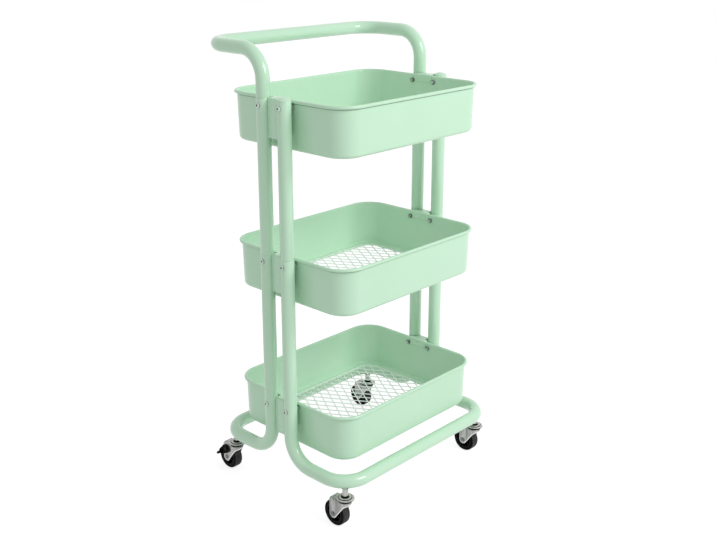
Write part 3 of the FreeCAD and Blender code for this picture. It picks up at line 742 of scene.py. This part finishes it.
nut = addPiece("nut", bpy.ops.mesh.primitive_cylinder_add, vertices=6, depth=fastener["nutThick"],
               radius=fastener["nutFlats"] / math.sqrt(3), rotation=(0, math.pi / 2, 0))
leaveEdit()
soften(nut, fastener["nutEdge"], degrees=fastener["hexAngle"])
smooth(nut, fastener["crease"])
basketNuts = atEveryBolt(nut, "basketNuts", nutSeatX - fastener["nutThick"] / 2)
# painted shade: the nuts take the darker copy of the zinc
wear(basketNuts, paintedShadeZinc, "cart", "bolt_steel", "basket_nuts")
print("fasteners set")


# Casters, modelled about the swivel axis and copied to the four corners

swivelAt = {(row, end): jointAt[f"{row}_{end}_swivel_turn"] for row in rowY for end in endX}
underSwivel = Vector((swivelAt["rear", "left"].x, swivelAt["rear", "left"].y, 0))
axleAt = jointAt["rear_left_wheel_roll"] - underSwivel
brakeAt = jointAt["rear_left_brake_press"] - underSwivel

fork = {"half": 0.011, "sheet": 0.0020, "crown": 0.055, "noseFoot": 0.046, "notchFront": 0.006,
        "notchRound": 0.010, "noseSlope": 30, "tip": 0.0085, "turn": 0.003, "edge": 0.0008, "highlightWidth": 0.0013,
        "spare": 0.005, "stub": 0.00125, "skirt": 0.045, "flat": 0.99, "steep": 0.3, "tipSteps": 14,
        "notchSteps": 8, "noseSteps": 24, "turnSteps": 5,
        "raceRadius": 0.0132, "raceBore": 0.007, "raceFoot": 0.0541, "raceTop": 0.0584, "raceSteps": 48,
        "raceRounds": ((1, 0.0012, 3), (2, 0.0008, 3)), "raceShows": 0.0012}
notchAt = Vector((0, -fork["notchFront"], fork["noseFoot"]))
toAxle = Vector((0, axleAt.y, axleAt.z)) - notchAt
slope = math.atan2(toAxle.z, toAxle.y) - math.asin(fork["tip"] / toAxle.length)
slantInward = Vector((0, -math.sin(slope), math.cos(slope)))
noseSlope = -math.radians(fork["noseSlope"])
noseInward = Vector((0, -math.sin(noseSlope), math.cos(noseSlope)))


def forkSide(name):
    # the hood's side view as a block wider than the fork: rounded tip, slanted edge, notch, flatter nose
    reach = fork["half"] + fork["spare"]
    top = fork["crown"] + fork["sheet"]
    centre = Vector((-reach, axleAt.y, axleAt.z))
    notch = notchAt - alongX * reach
    run = math.sqrt(toAxle.length ** 2 - fork["tip"] ** 2)
    setback = fork["notchRound"] * math.tan((noseSlope - slope) / 2)
    uphill = Vector((0, -math.cos(noseSlope), -math.sin(noseSlope)))
    nose = uphill * (reach - fork["notchFront"]) / math.cos(noseSlope)

    piece = startLine(name, Vector((-reach, axleAt.y + fork["tip"], top)))
    drawBy(alongZ * (axleAt.z - top))
    spinRound(centre, alongX, math.degrees(slope) - 90, fork["tipSteps"])
    drawBy(Vector((0, -math.cos(slope), -math.sin(slope))) * (run - setback))
    notchCentre = notch + uphill * setback - noseInward * fork["notchRound"]
    spinRound(notchCentre, alongX, math.degrees(noseSlope - slope), fork["notchSteps"])
    drawBy(nose - uphill * setback)
    drawBy(alongZ * (top - fork["noseFoot"] - nose.z))
    raiseOutline(alongX * 2 * reach)
    return piece


def forkHood(name):
    # sheet with a round nose seen from above, led down, bent at the crown and trimmed to the side view
    half, crown, stub = fork["half"], fork["crown"], fork["stub"]
    straight = axleAt.y + fork["tip"] + fork["spare"] - stub
    piece = startLine(name, Vector((-half, straight + stub, crown)))
    drawBy(-alongY * stub)
    drawBy(-alongY * straight)
    spinRound(alongZ * crown, alongZ, 180, fork["noseSteps"])
    drawBy(alongY * straight)
    drawBy(alongY * stub)
    raiseOutline(-alongZ * fork["skirt"])
    edit(piece)
    pick(piece, "FACE", lambda spot, normal: max(-normal.z, normal.y) > snap["facing"])
    bpy.ops.mesh.delete(type="FACE")
    pick(piece, "EDGE", lambda spot: near(spot.z, crown) and spot.y < straight + stub / 2)
    bpy.ops.mesh.bevel(affect="EDGES", offset=fork["turn"], segments=fork["turnSteps"])
    weld()
    modify(piece, "SOLIDIFY", thickness=fork["sheet"], offset=0)
    boolean(piece, forkSide("forkSide"), "INTERSECT")
    soften(piece, fork["edge"])

    # cut lines for the painted highlight strip along the slant and under the nose
    def onNose(spot, normal):
        return spot.y < 0 and abs(normal.z) < fork["steep"]

    edit(piece)
    pick(piece, "FACE", lambda spot, normal: abs(normal.x) > fork["flat"] or onNose(spot, normal))
    bpy.ops.mesh.bisect(plane_co=notchAt + slantInward * fork["highlightWidth"], plane_no=slantInward)
    pick(piece, "FACE", onNose)
    bpy.ops.mesh.bisect(plane_co=notchAt + noseInward * fork["highlightWidth"], plane_no=noseInward)
    leaveEdit()
    smooth(piece)
    return piece


def lowerRace(name):
    outer, bore = fork["raceRadius"], fork["raceBore"]
    line = [(bore, fork["raceFoot"]), (outer, fork["raceFoot"]), (outer, fork["raceTop"]),
            (bore, fork["raceTop"]), (bore, fork["raceFoot"])]
    piece = lathe(name, line, fork["raceSteps"], rounds=fork["raceRounds"])
    smooth(piece)
    return piece


stem = {"raceFoot": 0.0596, "raceEdge": 0.0018, "raceFlange": 0.0023, "raceTop": 0.0632, "raceRadius": 0.017,
        "stepRadius": 0.013, "crownRadius": 0.0115, "shadeRadius": 0.0078, "raceSteps": 48,
        "raceRounds": ((1, 0.0005, 2), (2, 0.0006, 3), (4, 0.0006, 4)), "pin": 0.004, "collarTop": 0.080,
        "collarFlats": 0.010, "collarShade": 0.0665, "collarEdge": 0.0006, "hexAngle": 30, "crease": 25,
        "rivetRadius": 0.007, "rivetFoot": 0.0512, "rivetTop": 0.0537, "rivetSteps": 32,
        "rivetRounds": ((1, 0.0012, 3),), "slack": 0.0003, "level": 0.5}


def stemPiece(name):
    outer, pin, foot, top = stem["raceRadius"], stem["pin"], stem["raceFoot"], stem["raceTop"]
    raceLine = [(pin, foot), (outer, foot), (outer, foot + stem["raceEdge"]),
                (stem["stepRadius"], foot + stem["raceFlange"]), (stem["crownRadius"], top),
                (stem["shadeRadius"], top), (pin, top), (pin, foot)]
    race = lathe("upperRace", raceLine, stem["raceSteps"], rounds=stem["raceRounds"])
    smooth(race)
    collarHigh = stem["collarTop"] - top
    collar = addPiece("collar", bpy.ops.mesh.primitive_cylinder_add, vertices=6, depth=collarHigh,
                      radius=stem["collarFlats"] / math.sqrt(3), location=(0, 0, top + collarHigh / 2))
    # a cut round the collar, below which its foot takes the painted shade
    bpy.ops.mesh.bisect(plane_co=alongZ * stem["collarShade"], plane_no=alongZ)
    leaveEdit()
    soften(collar, stem["collarEdge"], degrees=stem["hexAngle"])
    smooth(collar, stem["crease"])
    rivetLine = [(0, stem["rivetFoot"]), (stem["rivetRadius"], stem["rivetFoot"]),
                 (stem["rivetRadius"], stem["rivetTop"]), (0, stem["rivetTop"])]
    rivet = lathe("rivet", rivetLine, stem["rivetSteps"], rounds=stem["rivetRounds"])
    smooth(rivet)
    return joined(name, [race, collar, rivet])


axle = {"headRadius": 0.0045, "headHeight": 0.0011, "headEdge": 0.0007, "radius": 0.003, "round": 32}


def axlePin(name):
    outside = fork["half"] + fork["sheet"] / 2
    right = domed("axleHalf", axle["headRadius"], axle["headHeight"], axle["headEdge"], axle["round"],
                  alongX, (axle["radius"], outside))
    smooth(right)
    shift = Matrix.Translation((outside + axle["headEdge"], 0, 0))
    place = Matrix.Translation(axleAt)
    halves = [copyOf(right, "axleRight", place @ shift), copyOf(right, "axleLeft", place @ halfTurn @ shift)]
    discard(right)
    return joined(name, halves)


wheel = {"radius": 0.025, "half": 0.009, "seat": 0.019, "shoulder": 0.003, "ringRadius": 0.0207,
         "ringHalf": 0.0004, "ringDeep": 0.0004, "rimInner": 0.016, "boss": 0.007, "bossHalf": 0.0097,
         "bore": 0.00305, "web": 0.0025, "rib": 0.0016, "ribHalf": 0.007, "ribSunk": 0.001, "ribEdge": 0.0003,
         "ribCount": 6, "round": 64, "shoulderSteps": 5, "treadDeep": 0.0012, "fit": 0.00002,
         "hubRounds": ((1, 0.0005, 2), (4, 0.0006, 2), (7, 0.0006, 2), (10, 0.0005, 2))}


def tyrePiece(name):
    half, ring = wheel["half"], wheel["ringRadius"]
    side = [(wheel["seat"], half), (ring - wheel["ringHalf"], half), (ring, half - wheel["ringDeep"]),
            (ring + wheel["ringHalf"], half), (wheel["radius"], half)]
    line = [(radius, -along) for radius, along in side] + side[::-1] + [(wheel["seat"], -half)]
    shoulders = [(index, wheel["shoulder"], wheel["shoulderSteps"]) for index in (4, 5)]
    piece = lathe(name, line, wheel["round"], alongX, axleAt, shoulders)
    smooth(piece)
    return piece


def hubPiece(name):
    half, boss, web = wheel["half"], wheel["boss"], wheel["web"]
    rim, bore = wheel["rimInner"], wheel["bore"]
    outer = wheel["seat"] - wheel["fit"]
    side = [(outer, half), (rim, half), (rim, web), (boss, web), (boss, wheel["bossHalf"]),
            (bore, wheel["bossHalf"])]
    line = side + [(radius, -along) for radius, along in reversed(side)] + [side[0]]
    body = lathe("hubBody", line, wheel["round"], alongX, axleAt, wheel["hubRounds"])
    smooth(body)
    parts = [body]
    ribMiddle = (boss + rim) / 2
    rib = addPiece("rib", bpy.ops.mesh.primitive_cube_add, size=1, location=(0, 0, ribMiddle),
                   scale=(2 * wheel["ribHalf"], wheel["rib"], rim - boss + wheel["ribSunk"]))
    leaveEdit()
    soften(rib, wheel["ribEdge"])
    for index in range(wheel["ribCount"]):
        turn = Matrix.Rotation(2 * math.pi * index / wheel["ribCount"], 4, "X")
        parts.append(copyOf(rib, "ribCopy", Matrix.Translation(axleAt) @ turn))
    discard(rib)
    return joined(name, parts)


pedal = {"boss": 0.0092, "foot": 0.0062, "length": 0.0186, "thick": 0.003, "inside": 0.0124, "droop": 36,
         "bossSteps": 24, "footSteps": 14, "bore": 0.0018, "boreLong": 0.1, "boreSteps": 24, "edge": 0.0004,
         "border": 0.0015, "panelDeep": 0.0003, "tabReach": 0.0085, "tabWide": 0.010, "tabThick": 0.003,
         "tabEdge": 0.0008, "tabSteps": 3, "ridgeHigh": 0.0013, "ridgeWide": 0.0015, "ridgeLong": 0.008,
         "ridgeEdge": 0.0003, "ridgeCount": 3, "ridgePitch": 0.0023}


def pedalPiece(name, side):
    # foot lever outside the fork: a flat round the pin and the foot end, a sunk panel, a ridged tab
    boss, foot = pedal["boss"], pedal["foot"]
    lean = math.acos((boss - foot) / pedal["length"])
    lower = Vector((0, math.cos(lean), -math.sin(lean)))
    bossAt = alongX * side * pedal["inside"]
    footAt = bossAt + alongY * pedal["length"]
    outside = side * (pedal["inside"] + pedal["thick"])
    flat = startLine("leverFlat", bossAt + Vector((0, lower.y, -lower.z)) * boss)
    spinRound(bossAt, alongX, 360 - 2 * math.degrees(lean), pedal["bossSteps"])
    drawBy(footAt + lower * foot - bossAt - lower * boss)
    spinRound(footAt, alongX, 2 * math.degrees(lean), pedal["footSteps"])
    raiseOutline(alongX * side * pedal["thick"])
    edit(flat)
    pick(flat, "FACE", lambda spot, normal: near(spot.x, outside) and normal.x * side > snap["facing"])
    bpy.ops.mesh.inset(thickness=pedal["border"])
    drawBy(-alongX * side * pedal["panelDeep"])
    weld()
    bore = addPiece("leverBore", bpy.ops.mesh.primitive_cylinder_add, vertices=pedal["boreSteps"],
                    radius=pedal["bore"], depth=pedal["boreLong"], rotation=(0, math.pi / 2, 0))
    leaveEdit()
    boolean(flat, bore)
    soften(flat, pedal["edge"])

    tabLong = pedal["thick"] + pedal["tabReach"]
    tab = addPiece("leverTab", bpy.ops.mesh.primitive_cube_add, size=1,
                   location=footAt + alongX * side * tabLong / 2,
                   scale=(tabLong, pedal["tabWide"], pedal["tabThick"]))
    leaveEdit()
    soften(tab, pedal["tabEdge"], segments=pedal["tabSteps"])
    parts = [flat, tab]
    for index in range(pedal["ridgeCount"]):
        along = side * (tabLong - (index + 1) * pedal["ridgePitch"])
        ridge = addPiece("leverRidge", bpy.ops.mesh.primitive_cube_add, size=1,
                         location=footAt + alongX * along,
                         scale=(pedal["ridgeWide"], pedal["ridgeLong"],
                                pedal["tabThick"] + 2 * pedal["ridgeHigh"]))
        leaveEdit()
        soften(ridge, pedal["ridgeEdge"])
        parts.append(ridge)
    for part in parts:
        smooth(part)
    lever = joined(name, parts)
    droop = Matrix.Rotation(math.radians(-pedal["droop"]), 4, "X")
    lever.data.transform(Matrix.Translation(brakeAt) @ droop)
    return lever


masters = {"fork": joined("forkMaster", [forkHood("hood"), lowerRace("race")]),
           "stem": stemPiece("stemMaster"), "axle": axlePin("axleMaster"),
           "tyre": tyrePiece("tyreMaster"), "hub": hubPiece("hubMaster"),
           "left": pedalPiece("leftLever", -1), "right": pedalPiece("rightLever", 1)}


def onPaintedHighlight(spot, normal):
    # the painted highlight strip along the slant and under the nose, with the sheet's own edge
    fromNotch = spot - notchAt
    return max(fromNotch.dot(slantInward), fromNotch.dot(noseInward)) < fork["highlightWidth"]


def inRaceGapShade(spot, normal):
    # painted shade: the lower race where it shows in the gap under the upper race
    return spot.z > fork["crown"] + fork["raceShows"]


def inHeadShade(spot, normal):
    # painted shade: foot of the collar and the ring about it, flank of the raised crown, rim and underside of
    # the race
    out = math.hypot(spot.x, spot.y)
    slack = stem["slack"]
    collarFoot = out < stem["shadeRadius"] and stem["raceTop"] - slack < spot.z < stem["collarShade"]
    onFlank = stem["crownRadius"] - slack < out < stem["stepRadius"] + slack
    flank = onFlank and spot.z < stem["raceTop"] - slack
    rim = out > stem["raceRadius"] - slack and normal.z < stem["level"]
    return collarFoot or flank or rim or spot.z < stem["raceFoot"] + slack


def onTread(spot, normal):
    return math.hypot(spot.y - axleAt.y, spot.z - axleAt.z) > wheel["radius"] - wheel["treadDeep"]


# painted highlight along the hood's slant and nose; painted shade on the lower race in the gap under the
# upper race
paint(masters["fork"], plating, (paintedHighlightEdge, onPaintedHighlight), (paintedShadeBlack, inRaceGapShade))
# painted shade about the foot of the collar and round the upper race
paint(masters["stem"], headZinc, (paintedShadeBlack, inHeadShade))
paint(masters["tyre"], tyreRubber, (treadRubber, onTread))

# each piece's finish where it isn't painted yet, its body and its slot
casterPieces = [("fork", None, "swivel", "caster_chrome"), ("stem", None, "cart", "caster_chrome"),
                ("axle", axleSteel, "swivel", "axle_steel"), ("hub", hubPlastic, "wheel", "hub_plastic"),
                ("tyre", None, "wheel", "tyre_rubber")]
brakePieces = [("pedal", pedalPlastic, "brake", "pedal_plastic")]

for (row, end), spot in swivelAt.items():
    name = f"{row}_{end}"
    place = Matrix.Translation((spot.x, spot.y, 0))
    for kind, finish, body, slot in casterPieces + (brakePieces if row == "rear" else []):
        master = masters[end if kind == "pedal" else kind]
        placed = copyOf(master, f"{row}{end.title()}{kind.title()}", place)
        wear(placed, finish, body if body == "cart" else f"{name}_{body}", slot, f"{name}_{kind}")
for master in masters.values():
    discard(master)
print("casters set")


# Frame nodes that stay as they are, with their finishes

# painted shade on the spacers; painted light: the rail inserts take the paler zinc
keptNodes = {"basket_spacers": paintedShadeNylon, "rail_inserts": paintedLightZinc}
for row, end in swivelAt:
    keptNodes[f"{row}_{end}_balls"] = ballSteel
for end in endX:
    keptNodes[f"rear_{end}_brake_pin"] = pinSteel
for nodeName, finish in keptNodes.items():
    for materialSlot in frame["nodes"][nodeName].material_slots:
        materialSlot.material = finish
print("kept nodes finished")


# Studio: pale floor, white surround, one large soft light from the front right

studio = {"floorSize": 12.0, "floorShade": 0.80, "floorGlow": 0.80, "floorLit": 0.42, "ambient": 0.56,
          "backdrop": 1.0,
          "keyPower": 44, "keySize": 1.4, "keyFrom": Vector((0.65, -2.53, 2.10)),
          "keyAt": Vector((0, 0, 0.42))}
white = (1, 1, 1, 1)


def seenByEye(shader):
    # 1 for the camera, reflections and clear things, 0 for the light that falls on surfaces
    path = "ShaderNodeLightPath"
    return (shader.node(path, output="Is Camera Ray") + shader.node(path, output="Is Glossy Ray")
            + shader.node(path, output="Is Transmission Ray"))


floor = addPiece("studioFloor", bpy.ops.mesh.primitive_plane_add, size=studio["floorSize"])
leaveEdit()
floorShader = Finish(bpy.data.materials.new("studioFloor"))
shade = (studio["floorShade"],) * 3 + (1,)
plainFloor = floorShader.node("ShaderNodeBsdfDiffuse", None, {"Color": shade})
lit = (studio["floorLit"],) * 3 + (1,)
litFloor = floorShader.node("ShaderNodeBsdfDiffuse", None, {"Color": lit})
glow = floorShader.node("ShaderNodeEmission", None, {"Color": white, "Strength": studio["floorGlow"]})
paleFloor = floorShader.node("ShaderNodeAddShader", None, {0: litFloor, 1: glow})
floorLook = floorShader.node("ShaderNodeMixShader", None,
                             {0: seenByEye(floorShader), 1: plainFloor, 2: paleFloor})
floorShader.node("ShaderNodeOutputMaterial", None, {"Surface": floorLook}, output=None)
floor.data.materials.append(floorShader.material)

surround = bpy.data.worlds.new("studioSurround")
bpy.context.scene.world = surround
surroundShader = Finish(surround)
soft = surroundShader.node("ShaderNodeBackground", None, {"Color": white, "Strength": studio["ambient"]})
backdrop = surroundShader.node("ShaderNodeBackground", None, {"Color": white, "Strength": studio["backdrop"]})
surroundLook = surroundShader.node("ShaderNodeMixShader", None,
                                   {0: seenByEye(surroundShader), 1: soft, 2: backdrop})
surroundShader.node("ShaderNodeOutputWorld", None, {"Surface": surroundLook}, output=None)

leaveEdit()
bpy.ops.object.select_all(action="DESELECT")
keyAim = (studio["keyAt"] - studio["keyFrom"]).to_track_quat("-Z", "Y").to_euler()
bpy.ops.object.light_add(type="AREA", radius=studio["keySize"], location=studio["keyFrom"], rotation=keyAim)
keyLight = bpy.context.object
keyLight.name = "keyLight"
keyLight.data.shape = "SQUARE"
keyLight.data.size = studio["keySize"]
keyLight.data.energy = studio["keyPower"]
print("studio lit")


# Camera where the photograph was taken from

view = {"at": Vector((-1.3482, -1.2780, 1.0526)), "towards": Vector((0.6927, 0.6561, -0.2995)),
        "sensor": 36, "lens": 51.232, "shiftY": -0.04}

bpy.ops.object.select_all(action="DESELECT")
bpy.ops.object.camera_add(location=view["at"], rotation=view["towards"].to_track_quat("-Z", "Y").to_euler())
camera = bpy.context.object
camera.name = "photoCamera"
camera.data.sensor_width = view["sensor"]
camera.data.lens = view["lens"]
camera.data.shift_y = view["shiftY"]
bpy.context.scene.camera = camera
bpy.context.scene.view_settings.view_transform = "Standard"
print("camera set")
